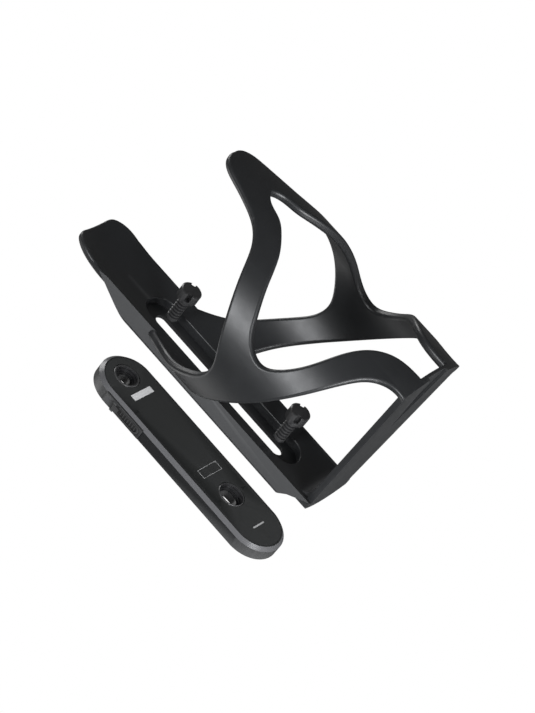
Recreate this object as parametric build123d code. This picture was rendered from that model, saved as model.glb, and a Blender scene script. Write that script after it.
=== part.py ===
# Side-wrapping bottle cage with a tracker pod that bolts between the cage and the bicycle frame.
# Millimetres. +Z runs up the bottle axis, -Y faces the bottle, +Y faces the bicycle frame.
# The origin is midway between the two bolts, on the flat mounting face of the cage.
from math import cos, radians, sin, sqrt
import os

from build123d import *

# ---- driving dimensions ----
BOLT_SPACING = 64.0
BOTTLE_RADIUS = 37.6
SPINE_DEPTH = 4.6
ARM_THICKNESS = 3.5
ARM_ROUND = 1.2
EDGE_ROUND = 0.9
SPINE_TOP_Z = 80.0
FOOT_TOP_Z = -58.4
FOOT_DROP = 2.0
FOOT_THICKNESS = 2.5
BOSS_TOP_Z = 39.6
BOSS_BOTTOM_Z = -48.0
BOSS_BACK_WIDTH = 33.4
SPINE_FRONT_WIDTH = 28.4
PADDLE_THICKNESS = 3.0
PADDLE_CURL = 4.4
PADDLE_START_Z = 57.0
PADDLE_CORNER = 6.5
RECESS_FLOOR = 1.5
RECESS_WIDTH = 14.4
RECESS_LENGTH = BOLT_SPACING + 23.0
SLOT_LENGTH = BOLT_SPACING + 10.0
ARM_TIP_Z = 51.8
NOTCH_Z = 30.5
FOOT_REAR_WIDTH = 24.4
FOOT_FRONT_WIDTH = 34.4
HEEL_ROUND = 6.0
GROOVE_WIDTH = 13.0
GROOVE_START_Y = -50.0

BOLT_DIAMETER = 4.9
BOLT_LENGTH = 12.8
THREAD_PITCH = 1.5
THREAD_DEPTH = 0.45
HEAD_DIAMETER = 8.8
HEAD_HEIGHT = 4.6
HEAD_NOTCH = 2.0
NOTCH_TURN = 29.0
SHANK_CLEARANCE = 0.35

POD_WIDTH = 26.6
POD_TOP_Z = BOLT_SPACING / 2 + 11.1
POD_BOTTOM_Z = -BOLT_SPACING / 2 - 28.2
POD_THICKNESS = 6.5
POD_CHAMFER = 1.5
POD_WALL = 1.3
POD_FLOOR = 0.9
COVER_THICKNESS = 1.0
BUSH_RADIUS = 5.9
RIM_WIDTH = 0.5
POCKET_DEPTH = 1.6
CAVITY_HALF = 10.4
BOARD_THICKNESS = 0.8
BATTERY_THICKNESS = 3.2
PORT_Z = 16.5
PORT_LENGTH = 13.8
PORT_HEIGHT = 3.8
PORT_DEPTH = 1.2
PAD_RAISE = 0.7
USB_WIDTH = 8.9
USB_HEIGHT = 3.2
USB_DEPTH = 7.0
HINGE_RADIUS = 0.75
PIN_RADIUS = 0.35
LIGHT_Z = 28.0
LIGHT_RADIUS = 0.9
LUG = 0.8
LOWER_SLOT = 2.4
BATTERY_Z0 = -23.4
BATTERY_Z1 = 1.6
BOARD_Z0 = 3.2
BOARD_Z1 = 24.0
LOWER_BOARD_Z0 = -BOLT_SPACING / 2 - 23.5
LOWER_BOARD_Z1 = -BOLT_SPACING / 2 - 8.0

# exploded rest positions along Y
POD_GAP = 31.0
BOLT_GAP = 17.0

# named clearances
SLIP = 0.1
RUNNING = 0.05

# ---- derived sizes ----
AXIS_Y = -(SPINE_DEPTH + BOTTLE_RADIUS)
ARM_OUTER = BOTTLE_RADIUS + ARM_THICKNESS
PADDLE_OUTER = BOTTLE_RADIUS + PADDLE_THICKNESS
ARM_FOOT_Z = FOOT_TOP_Z - FOOT_THICKNESS - FOOT_DROP
ARM_FOOT_INNER = -12.0
ARM_FOOT_OUTER = -29.5
BOLT_RADIUS = BOLT_DIAMETER / 2
SHANK_HOLE = BOLT_RADIUS + SHANK_CLEARANCE
BOLT_Z = BOLT_SPACING / 2
ARC = radians(1) * ARM_OUTER
POD_FRONT = POD_GAP
POD_BACK = POD_GAP + POD_THICKNESS

# arm outlines on the bottle surface: angle from the front in degrees, height in mm
ARM_TOP = [
    (-168, 40), (-158, 31), (-147, 20), (-130, 9.7), (-116, 1.9),
    (-105, -3.1), (-96, -4.2), (-85, -1.7), (-66, 5), (-45, 12.8), (-34.5, 16.8), (-25.5, 22.7),
    (-19, 32), (-14.4, 42), (-11.4, 47.5), (-8, 50.4),
]
ARM_INNER = [
    (-3.5, NOTCH_Z - 1.7), (-6.4, 26), (-9.4, 20), (-15.8, 14), (-25.3, 8), (-40.5, 2.1),
    (-57, -4.5), (-69.5, -11.5), (-72.5, -18.2), (-66, -24.8), (-53, -30.8), (-35, -36),
    (-22, -41.5), (-14.5, -48.5), (-12, -56.5),
]
ARM_BOTTOM = [
    (-29.7, -56), (-35, -50), (-45, -45.2), (-65, -37.8), (-85, -28.8), (-105, -18.2),
    (-125, -7.2), (-140, -0.5), (-153, 3), (-168, 5),
]


def flat(pairs):
    """Unroll angle and height pairs onto a plane."""
    return [Vector(a * ARC, z) for a, z in pairs]


def lift(edge, radius):
    """Roll an unrolled edge back onto a cylinder of the given radius."""
    count = max(3, int(edge.length / 3) + 1)
    points = []
    for i in range(count + 1):
        p = edge @ (i / count)
        a = radians(p.X / ARC)
        points.append(Vector(radius * sin(a), AXIS_Y - radius * cos(a), p.Y))
    return Edge.make_spline(points)


def ring_piece(edges, inner, outer, z0, z1):
    """Cut one piece out of a ring around the bottle along a closed unrolled outline."""
    walls = [Face.make_surface_from_curves(lift(e, inner - 3), lift(e, outer + 3)) for e in edges]
    base = Plane((0, AXIS_Y, z0))
    ring = Solid.make_cylinder(outer, z1 - z0, base) - Solid.make_cylinder(inner, z1 - z0, base)
    ring = ring.solid().rotate(Axis((0, AXIS_Y, 0), (0, 0, 1)), 90)
    pieces = ring.split(Shell(walls), keep=Keep.ALL).solids()
    return min(pieces, key=lambda piece: piece.volume)


def stadium(half_width, z_top, z_bottom, y0, y1, x=0.0):
    """Block with round ends, drawn in X and Z and extruded along +Y."""
    r = half_width
    length = z_top - z_bottom
    body = Box(2 * r, y1 - y0, length - 2 * r)
    for z in (length / 2 - r, r - length / 2):
        body += Pos(0, 0, z) * Rot(90, 0, 0) * Cylinder(r, y1 - y0)
    return Pos(x, (y0 + y1) / 2, (z_top + z_bottom) / 2) * body


def y_cylinder(radius, y0, y1, x=0.0, z=0.0):
    """Cylinder along Y between y0 and y1."""
    return Pos(x, (y0 + y1) / 2, z) * Rot(90, 0, 0) * Cylinder(radius, y1 - y0)


def block(x0, x1, y0, y1, z0, z1):
    """Box given by its two corners."""
    return Pos((x0 + x1) / 2, (y0 + y1) / 2, (z0 + z1) / 2) * Box(x1 - x0, y1 - y0, z1 - z0)


def soften(body, radius, edges):
    """Round a set of edges together, or else one at a time, skipping any that will not take it."""
    if not edges:
        return body
    try:
        rounded = body.fillet(radius, edges)
        if rounded.is_valid:
            return rounded
    except Exception:
        pass
    for edge in edges:
        match = [e for e in body.edges() if (e.center() - edge.center()).length < 0.01]
        try:
            rounded = body.fillet(radius, match[:1])
        except Exception:
            continue
        if rounded.is_valid:
            body = rounded
    return body


# ---- cage ----
def make_arms():
    """Both arms, joined at the front tip, as one shell around the bottle."""
    tip_corner = (-4, ARM_TIP_Z)
    low_z = ARM_FOOT_Z
    top = Edge.make_spline(flat(ARM_TOP + [tip_corner]))
    inner = Edge.make_spline(flat([(0, NOTCH_Z)] + ARM_INNER + [(ARM_FOOT_INNER, low_z)]))
    bottom = Edge.make_spline(flat([(ARM_FOOT_OUTER, low_z)] + ARM_BOTTOM))
    tip = Edge.make_line(top @ 1, Vector(0, ARM_TIP_Z))
    middle = Edge.make_line(Vector(0, ARM_TIP_Z), Vector(0, NOTCH_Z))
    foot = Edge.make_line(inner @ 1, bottom @ 0)
    root = Edge.make_line(bottom @ 1, top @ 0)
    edges = [top, tip, middle, inner, foot, bottom, root]
    half = ring_piece(edges, BOTTLE_RADIUS, ARM_OUTER, low_z - 10, ARM_TIP_Z + 10)
    rims = [e for e in half.edges() if e.geom_type == GeomType.BSPLINE and e.length > 35]
    half = soften(half, ARM_ROUND, rims)
    half = half & block(-2 * ARM_OUTER, 0, AXIS_Y - 2 * ARM_OUTER, 10, low_z - 20, ARM_TIP_Z + 20)
    return half.solid(), half.solid().mirror(Plane.YZ)


def make_spine():
    """Upright spine with its flat mounting boss, curved paddle, slot and recess."""
    back = BOSS_BACK_WIDTH / 2
    front = SPINE_FRONT_WIDTH / 2
    front_y = AXIS_Y + sqrt(BOTTLE_RADIUS**2 - front**2)
    low = FOOT_TOP_Z - FOOT_THICKNESS
    run_out_z = PADDLE_START_Z + 10
    deep = front_y - 5
    plan = Polyline((-back, 0), (-front, front_y), (front, front_y), (back, 0), close=True)
    body = Pos(0, 0, low) * extrude(make_face(plan), run_out_z - low)
    side = Spline((0, BOSS_TOP_Z), (-1.3, BOSS_TOP_Z + 6), (-3.4, BOSS_TOP_Z + 13), (front_y - 0.3, run_out_z))
    side += Polyline(
        (front_y - 0.3, run_out_z), (deep, run_out_z), (deep, low), (-7.5, low),
        (-3.2, BOSS_BOTTOM_Z - 4), (0, BOSS_BOTTOM_Z), (0, BOSS_TOP_Z),
    )
    body = body & extrude(Plane.YZ * make_face(side), back + 5, both=True)
    body -= Pos(0, AXIS_Y, 0) * Cylinder(BOTTLE_RADIUS, 4 * run_out_z)
    paddle_plan = Pos(0, AXIS_Y) * (Circle(PADDLE_OUTER) - Circle(BOTTLE_RADIUS))
    paddle_plan = paddle_plan & Pos(0, front_y / 2) * Rectangle(SPINE_FRONT_WIDTH + 2, 16)
    straight = Line((0, 0, low), (0, 0, PADDLE_START_Z))
    curl = Spline(
        (0, 0, PADDLE_START_Z), (0, -PADDLE_CURL * 0.32, PADDLE_START_Z + 13),
        (0, -PADDLE_CURL, SPINE_TOP_Z + 2), tangents=[(0, 0, 1), (0, -0.3, 1)],
    )
    paddle = sweep(Pos(0, 0, low) * paddle_plan, path=straight)
    paddle += sweep(Pos(0, 0, PADDLE_START_Z) * paddle_plan, path=curl)
    half_top = Spline(
        (front, PADDLE_START_Z), (front + 0.5, PADDLE_START_Z + 11), (front - 0.9, SPINE_TOP_Z - 5),
        (front - 3.4, SPINE_TOP_Z - 1.3), (PADDLE_CORNER, SPINE_TOP_Z), tangents=[(0, 1), (-1, 0)],
    )
    outline = half_top + Line((PADDLE_CORNER, SPINE_TOP_Z), (-PADDLE_CORNER, SPINE_TOP_Z)) + mirror(half_top, Plane.YZ)
    outline += Polyline((-front, PADDLE_START_Z), (-front, low), (front, low), (front, PADDLE_START_Z))
    paddle = paddle & extrude(Plane.XZ * make_face(outline), 20, both=True)
    spine = body + paddle
    trough = PADDLE_START_Z - low + 10
    spine -= Pos(0, AXIS_Y, PADDLE_START_Z - trough / 2) * Cylinder(BOTTLE_RADIUS, trough)
    ridges = [e for e in spine.edges() if e.length > 20 and e.bounding_box().size.Z > 18]
    spine = soften(spine.solid(), EDGE_ROUND, ridges)
    crown = [e for e in spine.edges() if e.center().Z > SPINE_TOP_Z - 6 and abs(e.tangent_at(0.5).Y) < 0.9 and e.length > 5]
    return soften(spine, EDGE_ROUND, crown)


def make_foot():
    """Foot under the bottle, falling and widening to the front, with a groove below and a rounded heel."""
    rear = FOOT_REAR_WIDTH / 2
    wide = FOOT_FRONT_WIDTH / 2
    start_y = -3.5
    front_y = AXIS_Y - 31
    end_y = front_y - 12
    plan = Polyline(
        (-rear, start_y), (-wide, front_y), (-wide - 2, end_y), (wide + 2, end_y),
        (wide, front_y), (rear, start_y), close=True,
    )
    low = FOOT_TOP_Z - FOOT_THICKNESS - FOOT_DROP - 2
    foot = Pos(0, 0, low) * extrude(make_face(plan), 10)
    drop = FOOT_DROP / (start_y - front_y)
    end_z = FOOT_TOP_Z - drop * (start_y - end_y)
    side = Polyline(
        (start_y, FOOT_TOP_Z), (end_y, end_z), (end_y, end_z - FOOT_THICKNESS),
        (start_y, FOOT_TOP_Z - FOOT_THICKNESS), close=True,
    )
    foot = foot & extrude(Plane.YZ * make_face(side), wide + 5, both=True)
    foot = foot & Pos(0, AXIS_Y, low) * Cylinder(ARM_OUTER, 40)
    groove = Polyline((0, GROOVE_START_Y), (GROOVE_WIDTH / 2, end_y), (-GROOVE_WIDTH / 2, end_y), close=True)
    groove = Pos(0, 0, low) * extrude(make_face(groove), 10)
    foot -= groove & Pos(0, 0, -FOOT_THICKNESS / 2) * extrude(Plane.YZ * make_face(side), wide, both=True)
    heel_y = -SPINE_DEPTH - HEEL_ROUND - 1.5
    heel = block(-rear + 1, rear - 1, heel_y, start_y, FOOT_TOP_Z - 1, FOOT_TOP_Z + HEEL_ROUND)
    heel -= Pos(0, heel_y, FOOT_TOP_Z + HEEL_ROUND) * Rot(0, 90, 0) * Cylinder(HEEL_ROUND, 2 * rear)
    return foot + heel


def near_recess(edge, reach):
    """True for the edges around the mouth of the bolt recess."""
    box = edge.bounding_box()
    flat_floor = box.max.Y > -RECESS_FLOOR - 0.5
    return max(abs(box.min.X), abs(box.max.X)) < reach and not flat_floor and abs(edge.center().Z) < RECESS_LENGTH / 2 + 1


def make_cage():
    """One-piece moulded cage."""
    left, right = make_arms()
    cage = make_spine() + left + right + make_foot().solid()
    cage -= stadium(RECESS_WIDTH / 2, RECESS_LENGTH / 2, -RECESS_LENGTH / 2, -12, -RECESS_FLOOR)
    cage -= stadium(SHANK_HOLE, SLOT_LENGTH / 2, -SLOT_LENGTH / 2, -12, 1)
    cage = cage.solid()
    inside = RECESS_WIDTH / 2 + 0.2
    lips = [e for e in cage.edges() if -RECESS_FLOOR > e.center().Y > -9 and near_recess(e, inside)]
    return soften(cage, 0.5, lips)


def make_bolt(z):
    """Bolt with a notched cylindrical head, drawn pulled out of its hole."""
    seat = -RECESS_FLOOR - BOLT_GAP
    tip = seat + BOLT_LENGTH
    bolt = y_cylinder(HEAD_DIAMETER / 2, seat - HEAD_HEIGHT, seat)
    top = bolt.edges().filter_by(GeomType.CIRCLE).sort_by(Axis.Y)[0]
    bolt = chamfer(top, 0.5)
    bolt += y_cylinder(BOLT_RADIUS, seat, tip - 0.6)
    bolt += y_cylinder(BOLT_RADIUS - THREAD_DEPTH, seat, tip)
    count = int((BOLT_LENGTH - 1.5) / THREAD_PITCH)
    for i in range(count):
        y = seat + 1.3 + i * THREAD_PITCH
        ring = Polyline(
            (BOLT_RADIUS + 0.1, y - THREAD_PITCH * 0.36), (BOLT_RADIUS - THREAD_DEPTH, y - 0.12),
            (BOLT_RADIUS - THREAD_DEPTH, y + 0.12), (BOLT_RADIUS + 0.1, y + THREAD_PITCH * 0.36), close=True,
        )
        bolt -= revolve(make_face(ring), Axis.Y)
    for turn in (0, 180):
        notch = block(HEAD_DIAMETER / 2 - 1.7, HEAD_DIAMETER, seat - HEAD_HEIGHT - 1, seat - 1.4, -HEAD_NOTCH / 2, HEAD_NOTCH / 2)
        bolt -= Rot(0, turn - NOTCH_TURN, 0) * notch
    return Pos(0, 0, z) * bolt


# ---- tracker pod ----
HALF = POD_WIDTH / 2
LEDGE_Y = POD_FRONT + POCKET_DEPTH
FLOOR_Y = POD_BACK - POD_FLOOR
COVER_Y = POD_FRONT + 0.1
COVER_HALF = HALF - POD_CHAMFER - RIM_WIDTH
BOSS_RADIUS = BUSH_RADIUS + POD_WALL
BOARD_Y = LEDGE_Y + 1.2
PAD_X = -HALF - PAD_RAISE
PORT_Y = (LEDGE_Y + FLOOR_Y) / 2
HINGE_Z = PORT_Z + PORT_LENGTH / 2 + HINGE_RADIUS
HINGE_X = PAD_X - HINGE_RADIUS * 0.3
SHIFT = HALF - CAVITY_HALF
COVER_SHIFT = HALF - COVER_HALF
USB_X = PAD_X + PORT_DEPTH + SLIP
LED_X = -CAVITY_HALF + SLIP
SOUNDER_Z = (LOWER_BOARD_Z0 + LOWER_BOARD_Z1) / 2
STANDOFFS = [
    (-CAVITY_HALF - 0.5, -CAVITY_HALF + 1.2, BOARD_Z0, BOARD_Z0 + 2),
    (CAVITY_HALF - 1.2, CAVITY_HALF + 0.5, BOARD_Z0, BOARD_Z0 + 2),
    (CAVITY_HALF - 1.2, CAVITY_HALF + 0.5, BOARD_Z1 - 2, BOARD_Z1),
    (-CAVITY_HALF - 0.5, -CAVITY_HALF + 1.2, BOARD_Z1 - 1, BOARD_Z1 + 1),
    (-CAVITY_HALF - 0.5, -CAVITY_HALF + 1.2, LOWER_BOARD_Z1 - 2.5, LOWER_BOARD_Z1 - 0.5),
    (CAVITY_HALF - 1.2, CAVITY_HALF + 0.5, LOWER_BOARD_Z1 - 2.5, LOWER_BOARD_Z1 - 0.5),
]


def lozenge(inset, y0, y1):
    """Block with the pod's outline pulled in by an even amount."""
    return stadium(HALF - inset, POD_TOP_Z - inset, POD_BOTTOM_Z + inset, y0, y1)


def slot_hole(radius, length, y0, y1, z):
    """Round hole or, when length is more than zero, a slot along Z."""
    if length == 0:
        return y_cylinder(radius, y0, y1, 0, z)
    return stadium(radius, z + radius + length / 2, z - radius - length / 2, y0, y1)


def x_stadium(height, length, x0, x1, y, z):
    """Round-ended block lying across the pod's side wall: length along Z, height along Y."""
    r = height / 2
    body = Box(x1 - x0, height, length - height)
    for dz in (length / 2 - r, r - length / 2):
        body += Pos(0, 0, dz) * Rot(0, 90, 0) * Cylinder(r, x1 - x0)
    return Pos((x0 + x1) / 2, y, z) * body


def make_tub():
    """Pod tub: chamfered outline, cover pocket, two bolt bosses, side pad and port opening."""
    tub = lozenge(0, POD_FRONT, POD_BACK)
    front = tub.edges().filter_by(lambda e: abs(e.center().Y - POD_FRONT) < 0.01)
    tub = chamfer(front, POD_CHAMFER)
    pad_y0 = PORT_Y - PORT_HEIGHT / 2 - 0.5
    pad_y1 = PORT_Y + PORT_HEIGHT / 2 + 0.5
    tub += block(PAD_X, -HALF + 1, pad_y0, pad_y1, PORT_Z - PORT_LENGTH / 2 - 1, LIGHT_Z + 2)
    tub -= lozenge(COVER_SHIFT - SLIP, POD_FRONT - 1, LEDGE_Y)
    cavity = lozenge(SHIFT, LEDGE_Y - 1, FLOOR_Y)
    for z in (BOLT_Z, -BOLT_Z):
        cavity -= y_cylinder(BOSS_RADIUS, LEDGE_Y, FLOOR_Y, 0, z)
    tub -= cavity
    for z in (BOLT_Z, -BOLT_Z):
        tub -= y_cylinder(BUSH_RADIUS, POD_FRONT - 1, FLOOR_Y, 0, z)
    tub -= slot_hole(SHANK_HOLE + 0.3, 0, POD_FRONT, POD_BACK + 1, BOLT_Z)
    tub -= slot_hole(SHANK_HOLE + 0.3, LOWER_SLOT, POD_FRONT, POD_BACK + 1, -BOLT_Z)
    tub -= x_stadium(PORT_HEIGHT, PORT_LENGTH, PAD_X - 1, PAD_X + PORT_DEPTH, PORT_Y, PORT_Z)
    tub -= x_stadium(USB_HEIGHT + 2 * SLIP, USB_WIDTH + 2 * SLIP, PAD_X, -CAVITY_HALF + 1, PORT_Y, PORT_Z)
    tub -= Pos(0, PORT_Y, LIGHT_Z) * Rot(0, 90, 0) * Pos(0, 0, PAD_X) * Cylinder(LIGHT_RADIUS, 12)
    tub -= y_cylinder(HINGE_RADIUS + 2 * RUNNING, PORT_Y - 1.5, PORT_Y + 1.5, HINGE_X, HINGE_Z)
    for y0 in (PORT_Y - 1.5 - LUG, PORT_Y + 1.5):
        lug = block(HINGE_X - HINGE_RADIUS * 0.8, PAD_X + 0.5, y0, y0 + LUG, HINGE_Z - 0.7, HINGE_Z + 0.9)
        tub += lug
    tub -= y_cylinder(PIN_RADIUS, PORT_Y - 1.5 - LUG, PORT_Y + 1.5 + LUG, HINGE_X, HINGE_Z)
    for z in (BATTERY_Z0 - 1, BATTERY_Z1):
        tub += block(-CAVITY_HALF - 0.5, CAVITY_HALF + 0.5, FLOOR_Y - 0.8, FLOOR_Y + 0.2, z, z + 1)
    for x0, x1, z0, z1 in STANDOFFS:
        tub += block(x0, x1, BOARD_Y + BOARD_THICKNESS, FLOOR_Y + 0.2, z0, z1)
    return tub.solid()


def make_cover():
    """Front cover plate with two bush holes and small engraved alignment marks."""
    cover = lozenge(COVER_SHIFT, COVER_Y, COVER_Y + COVER_THICKNESS)
    for z in (BOLT_Z, -BOLT_Z):
        cover -= y_cylinder(BUSH_RADIUS + SLIP, COVER_Y - 1, COVER_Y + 2, 0, z)
    for x, z in ((-COVER_HALF + 1.6, PORT_Z), (-8.2, -BOLT_Z), (8.2, -BOLT_Z)):
        turn = 1 if x < 0 else -1
        mark = Polyline((x - 1.2 * turn, z), (x + 1.2 * turn, z + 0.8), (x + 1.2 * turn, z - 0.8), close=True)
        cover -= Pos(0, COVER_Y + 0.15, 0) * extrude(Plane.XZ * make_face(mark), 1)
    return cover.solid()


def make_gasket():
    """Seal loop squeezed between the cover and the pocket ledge."""
    y1 = LEDGE_Y
    y0 = COVER_Y + COVER_THICKNESS
    return (lozenge(COVER_SHIFT, y0, y1) - lozenge(SHIFT, y0 - 1, y1 + 1)).solid()


def make_bush(z, slot):
    """Stepped bush that carries the bolt through the pod."""
    bush = y_cylinder(BUSH_RADIUS, POD_FRONT, FLOOR_Y, 0, z)
    rim = bush.edges().filter_by(GeomType.CIRCLE).sort_by(Axis.Y)[0]
    bush = chamfer(rim, 0.4)
    for step, depth in ((1.0, 0.9), (1.7, 2.0), (2.4, 2.9)):
        bush -= slot_hole(BUSH_RADIUS - step, min(slot, 2 * step - 1), POD_FRONT - 1, POD_FRONT + depth, z)
    bush -= slot_hole(SHANK_HOLE, slot, POD_FRONT - 1, POD_BACK, z)
    return bush.solid()


def make_bush_seal(z):
    """Flat ring that seals the cover to a bolt boss."""
    y0 = COVER_Y + COVER_THICKNESS
    ring = y_cylinder(BOSS_RADIUS, y0, LEDGE_Y, 0, z) - y_cylinder(BUSH_RADIUS, y0 - 1, LEDGE_Y + 1, 0, z)
    return ring.solid()


def board_y():
    """Front and back faces of the circuit boards."""
    return BOARD_Y, BOARD_Y + BOARD_THICKNESS


def make_main_board():
    """Main circuit board with a notch for the charging socket and an ear for the light."""
    y0, y1 = board_y()
    edge = CAVITY_HALF - SLIP
    board = block(-edge, edge, y0, y1, BOARD_Z0, BOARD_Z1)
    board += block(-edge, -edge + 2.6, y0, y1, BOARD_Z1 - 1, LIGHT_Z + 1.5)
    board -= block(-edge - 1, USB_X + USB_DEPTH, y0 - 1, y1 + 1, PORT_Z - USB_WIDTH / 2, PORT_Z + USB_WIDTH / 2)
    return board.solid()


def make_lower_board():
    """Second board below the lower bolt, carrying the antenna and the sounder."""
    y0, y1 = board_y()
    shape = block(-CAVITY_HALF - 1, CAVITY_HALF + 1, y0, y1, LOWER_BOARD_Z0, LOWER_BOARD_Z1)
    return (shape & lozenge(SHIFT + SLIP, y0 - 1, y1 + 1)).solid()


def make_flex():
    """Flexible strip that joins the two boards past the battery and the lower boss."""
    y0 = BOARD_Y - 0.2
    strip = block(CAVITY_HALF - 2.6, CAVITY_HALF - 0.6, y0, BOARD_Y, LOWER_BOARD_Z1 - 2, BOARD_Z0 + 2)
    return strip.solid()


def make_usb():
    """Charging socket with an open mouth facing the port."""
    shell = x_stadium(USB_HEIGHT, USB_WIDTH, USB_X, USB_X + USB_DEPTH, PORT_Y, PORT_Z)
    shell -= x_stadium(USB_HEIGHT - 0.7, USB_WIDTH - 0.7, USB_X - 1, USB_X + USB_DEPTH - 1, PORT_Y, PORT_Z)
    shell += block(USB_X + 0.8, USB_X + USB_DEPTH - 0.5, PORT_Y - 0.35, PORT_Y + 0.35, PORT_Z - 3.3, PORT_Z + 3.3)
    return shell.solid()


def make_port_cover():
    """Rubber port cover with a finger recess and a hinge barrel."""
    x1 = PAD_X + PORT_DEPTH - SLIP
    flap = x_stadium(PORT_HEIGHT - 2 * SLIP, PORT_LENGTH - 2 * SLIP, PAD_X, x1, PORT_Y, PORT_Z)
    flap -= x_stadium(PORT_HEIGHT - 1.2, PORT_LENGTH - 3, PAD_X - 1, PAD_X + 0.5, PORT_Y, PORT_Z - 0.4)
    flap += y_cylinder(HINGE_RADIUS, PORT_Y - 1.4, PORT_Y + 1.4, HINGE_X, HINGE_Z)
    flap += block(HINGE_X - HINGE_RADIUS, PAD_X - SLIP, PORT_Y - 1.4, PORT_Y + 1.4, HINGE_Z - 2.6, HINGE_Z)
    flap += block(HINGE_X - HINGE_RADIUS, PAD_X + 0.3, PORT_Y - 1.4, PORT_Y + 1.4, HINGE_Z - 2.6, HINGE_Z - 1.7)
    flap -= y_cylinder(PIN_RADIUS + RUNNING, PORT_Y - 2, PORT_Y + 2, HINGE_X, HINGE_Z)
    return flap.solid()


def make_nodes():
    """Build every named piece."""
    y0, y1 = board_y()
    nodes = {"cage_frame": make_cage()}
    nodes["bolt_upper"] = make_bolt(BOLT_Z)
    nodes["bolt_lower"] = make_bolt(-BOLT_Z)
    nodes["pod_tub"] = make_tub()
    nodes["pod_cover"] = make_cover()
    nodes["cover_gasket"] = make_gasket()
    nodes["bush_upper"] = make_bush(BOLT_Z, 0)
    nodes["bush_lower"] = make_bush(-BOLT_Z, LOWER_SLOT)
    nodes["bush_seal_upper"] = make_bush_seal(BOLT_Z)
    nodes["bush_seal_lower"] = make_bush_seal(-BOLT_Z)
    nodes["label_plate"] = block(-6.1, 6.1, POD_FRONT, COVER_Y, 20.9, 23.8)
    nodes["main_board"] = make_main_board()
    nodes["lower_board"] = make_lower_board()
    nodes["flex_strip"] = make_flex()
    half = CAVITY_HALF - 3.1
    battery_y1 = FLOOR_Y - 0.5
    nodes["battery_pad"] = block(-half, half, battery_y1, FLOOR_Y, BATTERY_Z0 + 1, BATTERY_Z1 - 1)
    cell = block(-half, half, battery_y1 - BATTERY_THICKNESS, battery_y1, BATTERY_Z0 + 0.2, BATTERY_Z1 - 0.2)
    nodes["battery_cell"] = fillet(cell.edges().filter_by(Axis.Y), 0.8)
    nodes["shield_can"] = block(-2.5, 7.2, y0 - 0.9, y0, 6.5, 17.5)
    nodes["motion_sensor"] = block(-2.0, 0.5, y0 - 0.9, y0, 19.2, 21.7)
    nodes["usb_socket"] = make_usb()
    nodes["light_pipe"] = Pos((PAD_X + LED_X) / 2, PORT_Y, LIGHT_Z) * Rot(0, 90, 0) * Cylinder(LIGHT_RADIUS, LED_X - PAD_X)
    nodes["status_led"] = block(LED_X, LED_X + 1.6, y1, y1 + 0.8, LIGHT_Z - 0.8, LIGHT_Z + 0.8)
    nodes["antenna_chip"] = block(-5.5, -1.5, y0 - 0.8, y0, -53.5, -51.7)
    nodes["sounder_disc"] = y_cylinder(6.0, y1, y1 + 0.6, 0, SOUNDER_Z)
    ring = y_cylinder(6.0, y1 + 0.6, FLOOR_Y, 0, SOUNDER_Z) - y_cylinder(4.8, y1, FLOOR_Y + 1, 0, SOUNDER_Z)
    nodes["sounder_ring"] = ring
    nodes["port_cover"] = make_port_cover()
    nodes["hinge_pin"] = y_cylinder(PIN_RADIUS, PORT_Y - 1.5 - LUG, PORT_Y + 1.5 + LUG, HINGE_X, HINGE_Z)
    return nodes


def main():
    """Build the pieces and write one STEP file each."""
    os.makedirs("parts", exist_ok=True)
    for name, shape in make_nodes().items():
        solids = shape.solids()
        print(name, len(solids), round(sum(s.volume for s in solids), 1))
        export_step(shape, "parts/" + name + ".step")


main()
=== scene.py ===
"""Visual model of a bottle cage, its two bolts and the tracker pod, in the CAD frame, in metres."""
import math

import bmesh
import bpy
from mathutils import Matrix, Vector


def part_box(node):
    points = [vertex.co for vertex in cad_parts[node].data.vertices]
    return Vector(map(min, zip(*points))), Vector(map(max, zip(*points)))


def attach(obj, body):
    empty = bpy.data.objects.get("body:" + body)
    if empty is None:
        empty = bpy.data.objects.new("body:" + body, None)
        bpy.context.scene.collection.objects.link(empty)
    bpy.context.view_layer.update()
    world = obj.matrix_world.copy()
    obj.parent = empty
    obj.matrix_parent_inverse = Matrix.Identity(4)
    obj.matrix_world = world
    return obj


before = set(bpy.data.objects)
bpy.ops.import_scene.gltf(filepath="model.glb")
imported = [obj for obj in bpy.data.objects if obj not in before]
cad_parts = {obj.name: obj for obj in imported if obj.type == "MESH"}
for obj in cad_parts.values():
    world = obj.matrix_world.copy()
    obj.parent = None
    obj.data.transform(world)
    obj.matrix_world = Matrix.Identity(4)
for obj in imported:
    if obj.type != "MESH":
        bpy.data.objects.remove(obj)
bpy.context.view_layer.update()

# ---------- node helpers ----------

MIX_A, MIX_B, MIX_RESULT = 6, 7, 2  # the colour sockets of a Mix node


def adder(tree):
    """A function that adds a node to this tree, with its sockets and settings given by name."""

    def add(kind, **settings):
        node = tree.nodes.new(kind)
        for key, value in settings.items():
            if key in node.inputs:
                node.inputs[key].default_value = value
            else:
                setattr(node, key, value)
        return node

    return add


def node_material(name):
    """New node material, with its tree and its shader."""
    mat = bpy.data.materials.new(name)
    mat.use_nodes = True
    return mat, mat.node_tree, mat.node_tree.nodes["Principled BSDF"]


def noise(tree, place, scale, detail, roughness):
    """Soft random pattern over a place."""
    node = adder(tree)("ShaderNodeTexNoise", Scale=scale, Detail=detail, Roughness=roughness)
    tree.links.new(place, node.inputs["Vector"])
    return node.outputs["Fac"]


def remap(tree, value, source, target):
    """A value moved from the source range to the target range, and held to it."""
    ends = {"From Min": source[0], "From Max": source[1], "To Min": target[0], "To Max": target[1]}
    node = adder(tree)("ShaderNodeMapRange", **ends)
    tree.links.new(value, node.inputs["Value"])
    return node.outputs["Result"]


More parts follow.
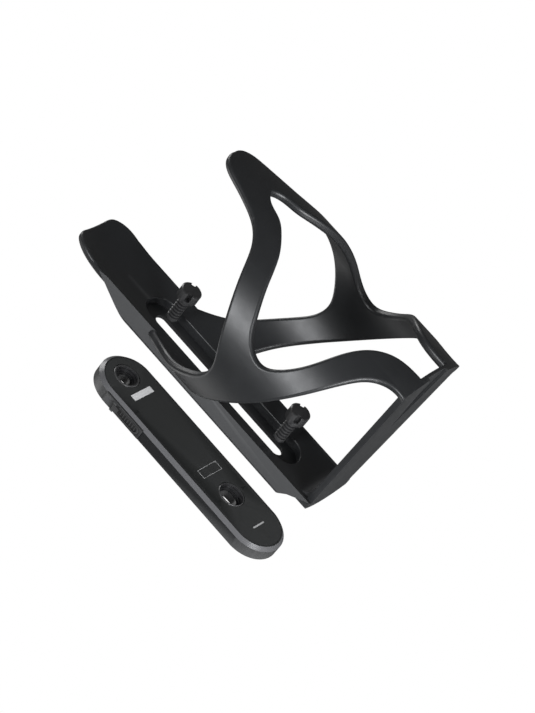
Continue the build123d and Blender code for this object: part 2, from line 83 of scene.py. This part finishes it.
def ramp(tree, value, low, high, ends=(0.3, 0.7)):
    """Colour that runs from low to high as a value passes between the two ends."""
    node = adder(tree)("ShaderNodeValToRGB")
    for stop, position, colour in zip(node.color_ramp.elements, ends, (low, high)):
        stop.position = position
        stop.color = (*colour, 1)
    tree.links.new(value, node.inputs["Fac"])
    return node.outputs["Color"]


def mix_colour(tree, factor, base, colour):
    """The base colour, turned into a plain colour by the factor."""
    node = adder(tree)("ShaderNodeMix", data_type="RGBA")
    tree.links.new(factor, node.inputs["Factor"])
    tree.links.new(base, node.inputs[MIX_A])
    node.inputs[MIX_B].default_value = (*colour, 1)
    return node.outputs[MIX_RESULT]


def combine(tree, operation, first, second):
    """Result of a Math node on two values."""
    node = adder(tree)("ShaderNodeMath", operation=operation)
    tree.links.new(first, node.inputs[0])
    tree.links.new(second, node.inputs[1])
    return node


def seen_directly(tree, rays):
    """1 for rays that come from the camera or have passed through something clear, 0 for the rest."""
    camera_ray = rays.outputs["Is Camera Ray"]
    return combine(tree, "MAXIMUM", camera_ray, rays.outputs["Is Transmission Ray"]).outputs["Value"]


# ---------- materials ----------

DRIFT = (55.0, 4.0, 0.55)  # scale, detail and roughness of the slow colour drift
SHINE = (180.0, 6.0, 0.6)  # the same for the uneven gloss
PORES = (3.0, 0.6)  # detail and roughness of the fine grain
SHINE_SPREAD = (-0.06, 0.08)  # how far the gloss pattern moves the roughness each way
EDGE_POINTINESS = (0.52, 0.62)  # where a convex edge starts to show wear, and where it shows it fully
GRAIN_HEIGHT = 0.00008
# The two ranges of the normal's Y below bound the sloping faces on which a highlight is painted.
FRONT_TO_SLOPE = (-0.80, -0.72)  # the normal's Y, from a face that is the pod's front to one that slopes
SLOPE_TO_SIDE = (-0.68, -0.58)  # and from one that slopes to one that is its side
PAINTED_HIGHLIGHT_BLUE = 1.04  # how much bluer than grey the highlight painted on the pod's sloping faces is


def slope_mask(tree, normal):
    """1 on the sloping faces around the pod's front, which faces -Y, and 0 elsewhere; a highlight is painted
    where it is 1.
    """
    split = adder(tree)("ShaderNodeSeparateXYZ")
    tree.links.new(normal, split.inputs["Vector"])
    off_front = remap(tree, split.outputs["Y"], FRONT_TO_SLOPE, (0.0, 1.0))
    off_side = remap(tree, split.outputs["Y"], SLOPE_TO_SIDE, (1.0, 0.0))
    return combine(tree, "MULTIPLY", off_front, off_side).outputs["Value"]


def moulded(name, low, high, rough, grain=2600.0, bump=0.12, wear=0.02, metallic=0.0, coat=0.0, painted_highlight=0.0):
    """Fine-grained surface with colour drift, uneven gloss, and edges paler by wear, or darker below 0.

    The last argument is the grey of a highlight painted on the sloping faces around a front, and 0 leaves
    them as the rest.
    """
    mat, tree, shader = node_material(name)
    add = adder(tree)
    link = tree.links.new
    coordinates = add("ShaderNodeTexCoord")
    place = coordinates.outputs["Object"]

    colour = ramp(tree, noise(tree, place, *DRIFT), low, high)
    pointiness = add("ShaderNodeNewGeometry").outputs["Pointiness"]
    worn = remap(tree, pointiness, EDGE_POINTINESS, (0.0, 1.0))
    colour = mix_colour(tree, worn, colour, [c + wear for c in high])
    # Painted highlight: the sloping faces around a front get a pale bluish grey in place of the plastic's
    # colour.
    if painted_highlight:
        painted_highlight_mask = slope_mask(tree, coordinates.outputs["Normal"])
        colour = mix_colour(tree, painted_highlight_mask, colour, (painted_highlight, painted_highlight, painted_highlight * PAINTED_HIGHLIGHT_BLUE))
    link(colour, shader.inputs["Base Color"])

    levels = [rough + step for step in SHINE_SPREAD]
    link(remap(tree, noise(tree, place, *SHINE), (0.0, 1.0), levels), shader.inputs["Roughness"])

    relief = add("ShaderNodeBump", Strength=bump, Distance=GRAIN_HEIGHT)
    link(noise(tree, place, grain, *PORES), relief.inputs["Height"])
    link(relief.outputs["Normal"], shader.inputs["Normal"])
    shader.inputs["Metallic"].default_value = metallic
    shader.inputs["Coat Weight"].default_value = coat
    return mat


cage_plastic = moulded("cage_plastic", (0.0115, 0.0122, 0.0130), (0.0150, 0.0158, 0.0170), 0.38)
# The pod's plastic has a highlight painted on the sloping faces around its front, at 0.10 grey.
pod_plastic = moulded(
    "pod_plastic", (0.010, 0.0104, 0.011), (0.012, 0.0125, 0.013), 0.27, grain=3400.0, wear=0.06, painted_highlight=0.10
)
cover_plastic = moulded(
    "cover_plastic", (0.009, 0.0098, 0.0098), (0.010, 0.0112, 0.0110), 0.46, grain=4200.0, bump=0.2
)
bush_plastic = moulded("bush_plastic", (0.014, 0.014, 0.015), (0.022, 0.022, 0.023), 0.28, wear=0.05)
seal_rubber = moulded("seal_rubber", (0.008, 0.008, 0.008), (0.013, 0.013, 0.013), 0.7)
port_rubber = moulded("port_rubber", (0.006, 0.006, 0.006), (0.010, 0.010, 0.010), 0.6, bump=0.25)
bolt_black = moulded("bolt_black", (0.012, 0.012, 0.013), (0.02, 0.02, 0.021), 0.3, metallic=0.35, wear=0.08)
label_white = moulded("label_white", (0.72, 0.72, 0.72), (0.8, 0.8, 0.8), 0.5, wear=-0.1)
board_green = moulded("board_green", (0.012, 0.09, 0.045), (0.02, 0.13, 0.06), 0.35, grain=900.0)
flex_amber = moulded("flex_amber", (0.4, 0.16, 0.03), (0.5, 0.22, 0.05), 0.35)
battery_foil = moulded(
    "battery_foil", (0.5, 0.5, 0.52), (0.62, 0.62, 0.64), 0.35, grain=700.0, metallic=0.9
)
shield_metal = moulded("shield_metal", (0.5, 0.5, 0.5), (0.62, 0.62, 0.62), 0.3, metallic=1.0)
chip_black = moulded("chip_black", (0.015, 0.015, 0.015), (0.02, 0.02, 0.02), 0.5)
sounder_brass = moulded("sounder_brass", (0.6, 0.42, 0.16), (0.7, 0.5, 0.2), 0.3, metallic=1.0)
light_clear = moulded("light_clear", (0.03, 0.03, 0.032), (0.05, 0.05, 0.054), 0.12, bump=0.0, coat=0.6)
print_grey = moulded("print_grey", (0.30, 0.30, 0.30), (0.38, 0.38, 0.38), 0.5, wear=0.0)

finish_of = {
    "cage_frame": cage_plastic,
    "bolt_upper": bolt_black,
    "bolt_lower": bolt_black,
    "pod_tub": pod_plastic,
    "pod_cover": cover_plastic,
    "cover_gasket": seal_rubber,
    "bush_upper": bush_plastic,
    "bush_lower": bush_plastic,
    "bush_seal_upper": seal_rubber,
    "bush_seal_lower": seal_rubber,
    "label_plate": label_white,
    "main_board": board_green,
    "lower_board": board_green,
    "flex_strip": flex_amber,
    "battery_cell": battery_foil,
    "battery_pad": seal_rubber,
    "shield_can": shield_metal,
    "motion_sensor": chip_black,
    "usb_socket": shield_metal,
    "light_pipe": light_clear,
    "status_led": label_white,
    "antenna_chip": label_white,
    "sounder_disc": sounder_brass,
    "sounder_ring": seal_rubber,
    "port_cover": port_rubber,
    "hinge_pin": bolt_black,
}
for name, mat in finish_of.items():
    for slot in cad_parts[name].material_slots:
        slot.material = mat

# ---------- small printed and moulded details on the pod ----------
# Heights are in the CAD frame, whose origin is midway between the two bolts.

PRINT_SINK = 0.00002  # how far the print reaches into the cover
PRINT_STAND = 0.00004  # how far it stands proud of the cover
BOX_X = 0.006  # half the width of the empty outlined box
BOX_Z = (-0.0209, -0.0167)
LINE = 0.00016  # width of the box's outline
BAR_X = 0.0035  # half the width of the short bar
BAR_Z = (-0.0486, -0.0479)
RIB_COUNT = 7
RIB_HALF = 0.00018  # half the width of one grip rib
RIB_INSET = 0.0007  # from the flap's two long sides to the ends of a rib
RIB_LOW_Z = 0.012
RIB_SPAN = 0.0082  # from the middle of the lowest rib to the middle of the highest
RIB_DEPTHS = (0.0009, 0.00055)  # from the flap's inner side to a rib's outer and inner face


def solid_mesh(name, rings, mat):
    """Closed mesh from a stack of equal loops of points, capped at both ends."""
    bm = bmesh.new()
    loops = [[bm.verts.new(p) for p in ring] for ring in rings]
    for a, b in zip(loops, loops[1:]):
        for k in range(len(a)):
            m = (k + 1) % len(a)
            bm.faces.new((a[k], a[m], b[m], b[k]))
    bm.faces.new(list(reversed(loops[0])))
    bm.faces.new(loops[-1])
    bmesh.ops.recalc_face_normals(bm, faces=bm.faces)
    mesh = bpy.data.meshes.new(name)
    bm.to_mesh(mesh)
    bm.free()
    mesh.materials.append(mat)
    obj = bpy.data.objects.new(name, mesh)
    bpy.context.scene.collection.objects.link(obj)
    return obj


def corners(low, high):
    """The four corners of a rectangle, from its lowest and highest corner."""
    return (low[0], low[1]), (high[0], low[1]), (high[0], high[1]), (low[0], high[1])


def flat_bar(name, x0, x1, z0, z1, y0, y1, mat):
    """Thin block lying on the pod's front."""
    loop = corners((x0, z0), (x1, z1))
    obj = solid_mesh(name, [[(x, y, z) for x, z in loop] for y in (y0, y1)], mat)
    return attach(obj, "pod")


cover_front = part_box("pod_cover")[0][1]
PRINT_BARS = (
    ("print_box_left", -BOX_X, -BOX_X + LINE, BOX_Z[0] + LINE, BOX_Z[1] - LINE),
    ("print_box_right", BOX_X - LINE, BOX_X, BOX_Z[0] + LINE, BOX_Z[1] - LINE),
    ("print_box_low", -BOX_X, BOX_X, BOX_Z[0], BOX_Z[0] + LINE),
    ("print_box_high", -BOX_X, BOX_X, BOX_Z[1] - LINE, BOX_Z[1]),
    ("print_bar_low", -BAR_X, BAR_X, *BAR_Z),
)
for name, x0, x1, z0, z1 in PRINT_BARS:
    flat_bar(name, x0, x1, z0, z1, cover_front - PRINT_STAND, cover_front + PRINT_SINK, print_grey)

(flap_lo, flap_hi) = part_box("port_cover")
for k in range(RIB_COUNT):
    z = RIB_LOW_Z + k * (RIB_SPAN / (RIB_COUNT - 1))
    loop = corners((flap_lo[1] + RIB_INSET, z - RIB_HALF), (flap_hi[1] - RIB_INSET, z + RIB_HALF))
    rings = [[(flap_hi[0] - depth, y, h) for y, h in loop] for depth in RIB_DEPTHS]
    rib = solid_mesh("port_rib_%d" % k, rings, port_rubber)
    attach(rib, "port_flap")

# ---------- stage, light and camera ----------

FLOOR_Z = -0.6
FLOOR_HALF = 6.0
FLOOR_GREY = 0.85
FILL_LIGHT = 0.06  # how strongly the surroundings light the object
GLOSS_SHOWS = 0.08  # the share of the white surroundings that a reflection shows on top of that
AIM = (0.0, -0.02, 0.0)
LAMPS = (
    # name, place, size, power and tint
    ("key", (-0.97, -0.30, 0.22), 0.34, 7, (0.96, 0.975, 1.0)),
    ("low", (-0.3, -0.2, -0.55), 0.4, 8, (0.97, 0.98, 1.0)),
    ("top", (0.35, -0.15, 0.95), 0.5, 4, (1, 1, 1)),
    ("back", (-0.2, 1.0, 0.6), 0.8, 3, (1, 1, 1)),
)
CAMERA_PLACE = (-0.81229, -0.67542, -0.22128)
CAMERA_HEADING = 51.4775  # degrees from +Y towards +X
CAMERA_RISE = 11.6054  # degrees above level
CAMERA_ROLL = -41.9396  # degrees about its own line of sight
CAMERA_LENS = 139.86
SENSOR_WIDTH = 36.0
CLIP_START = 0.05
CLIP_END = 20.0


def stage_finish(name, grey):
    """Matte stage finish that the camera sees as plain white."""
    mat, tree, shader = node_material(name)
    add = adder(tree)
    shader.inputs["Base Color"].default_value = (grey, grey, grey, 1)
    shader.inputs["Roughness"].default_value = 0.9
    glow = add("ShaderNodeEmission", Strength=1.0)
    blend = add("ShaderNodeMixShader")
    tree.links.new(seen_directly(tree, add("ShaderNodeLightPath")), blend.inputs["Fac"])
    tree.links.new(shader.outputs["BSDF"], blend.inputs[1])
    tree.links.new(glow.outputs["Emission"], blend.inputs[2])
    tree.links.new(blend.outputs["Shader"], tree.nodes["Material Output"].inputs["Surface"])
    return mat


def make_floor():
    """Flat floor well below the object."""
    bm = bmesh.new()
    bmesh.ops.create_grid(bm, x_segments=1, y_segments=1, size=FLOOR_HALF)
    mesh = bpy.data.meshes.new("floor")
    bm.to_mesh(mesh)
    bm.free()
    floor = bpy.data.objects.new("floor", mesh)
    bpy.context.scene.collection.objects.link(floor)
    floor.location.z = FLOOR_Z
    floor.data.materials.append(stage_finish("floor_pale", FLOOR_GREY))


def make_world():
    """Surroundings that look white, light the object faintly and show a little in its gloss."""
    world = bpy.data.worlds.new("studio")
    bpy.context.scene.world = world
    world.use_nodes = True
    tree = world.node_tree
    background = tree.nodes["Background"]
    background.inputs["Color"].default_value = (1, 1, 1, 1)
    rays = adder(tree)("ShaderNodeLightPath")
    shown = adder(tree)("ShaderNodeMath", operation="MULTIPLY_ADD")
    tree.links.new(rays.outputs["Is Glossy Ray"], shown.inputs[0])
    shown.inputs[1].default_value = GLOSS_SHOWS
    tree.links.new(seen_directly(tree, rays), shown.inputs[2])
    strength = remap(tree, shown.outputs["Value"], (0.0, 1.0), (FILL_LIGHT, 1.0))
    tree.links.new(strength, background.inputs["Strength"])


def make_lamp(name, place, size, power, tint):
    """Soft square lamp, aimed at the object."""
    data = bpy.data.lights.new(name, "AREA")
    data.size = size
    data.energy = power
    data.color = tint
    lamp = bpy.data.objects.new(name, data)
    bpy.context.scene.collection.objects.link(lamp)
    lamp.location = place
    lamp.rotation_mode = "QUATERNION"
    lamp.rotation_quaternion = (Vector(AIM) - Vector(place)).to_track_quat("-Z", "Y")


def make_camera():
    """Long lens from the left, the front and a little below, with the frame turned."""
    data = bpy.data.cameras.new("camera")
    camera = bpy.data.objects.new("camera", data)
    bpy.context.scene.collection.objects.link(camera)
    bpy.context.scene.camera = camera
    heading = Matrix.Rotation(math.radians(-CAMERA_HEADING), 4, "Z")
    rise = Matrix.Rotation(math.radians(90.0 + CAMERA_RISE), 4, "X")
    roll = Matrix.Rotation(math.radians(CAMERA_ROLL), 4, "Z")
    camera.matrix_world = Matrix.Translation(CAMERA_PLACE) @ heading @ rise @ roll
    data.lens = CAMERA_LENS
    data.sensor_width = SENSOR_WIDTH
    data.clip_start = CLIP_START
    data.clip_end = CLIP_END


make_floor()
make_world()
for lamp in LAMPS:
    make_lamp(*lamp)
make_camera()
bpy.context.scene.view_settings.view_transform = "Standard"
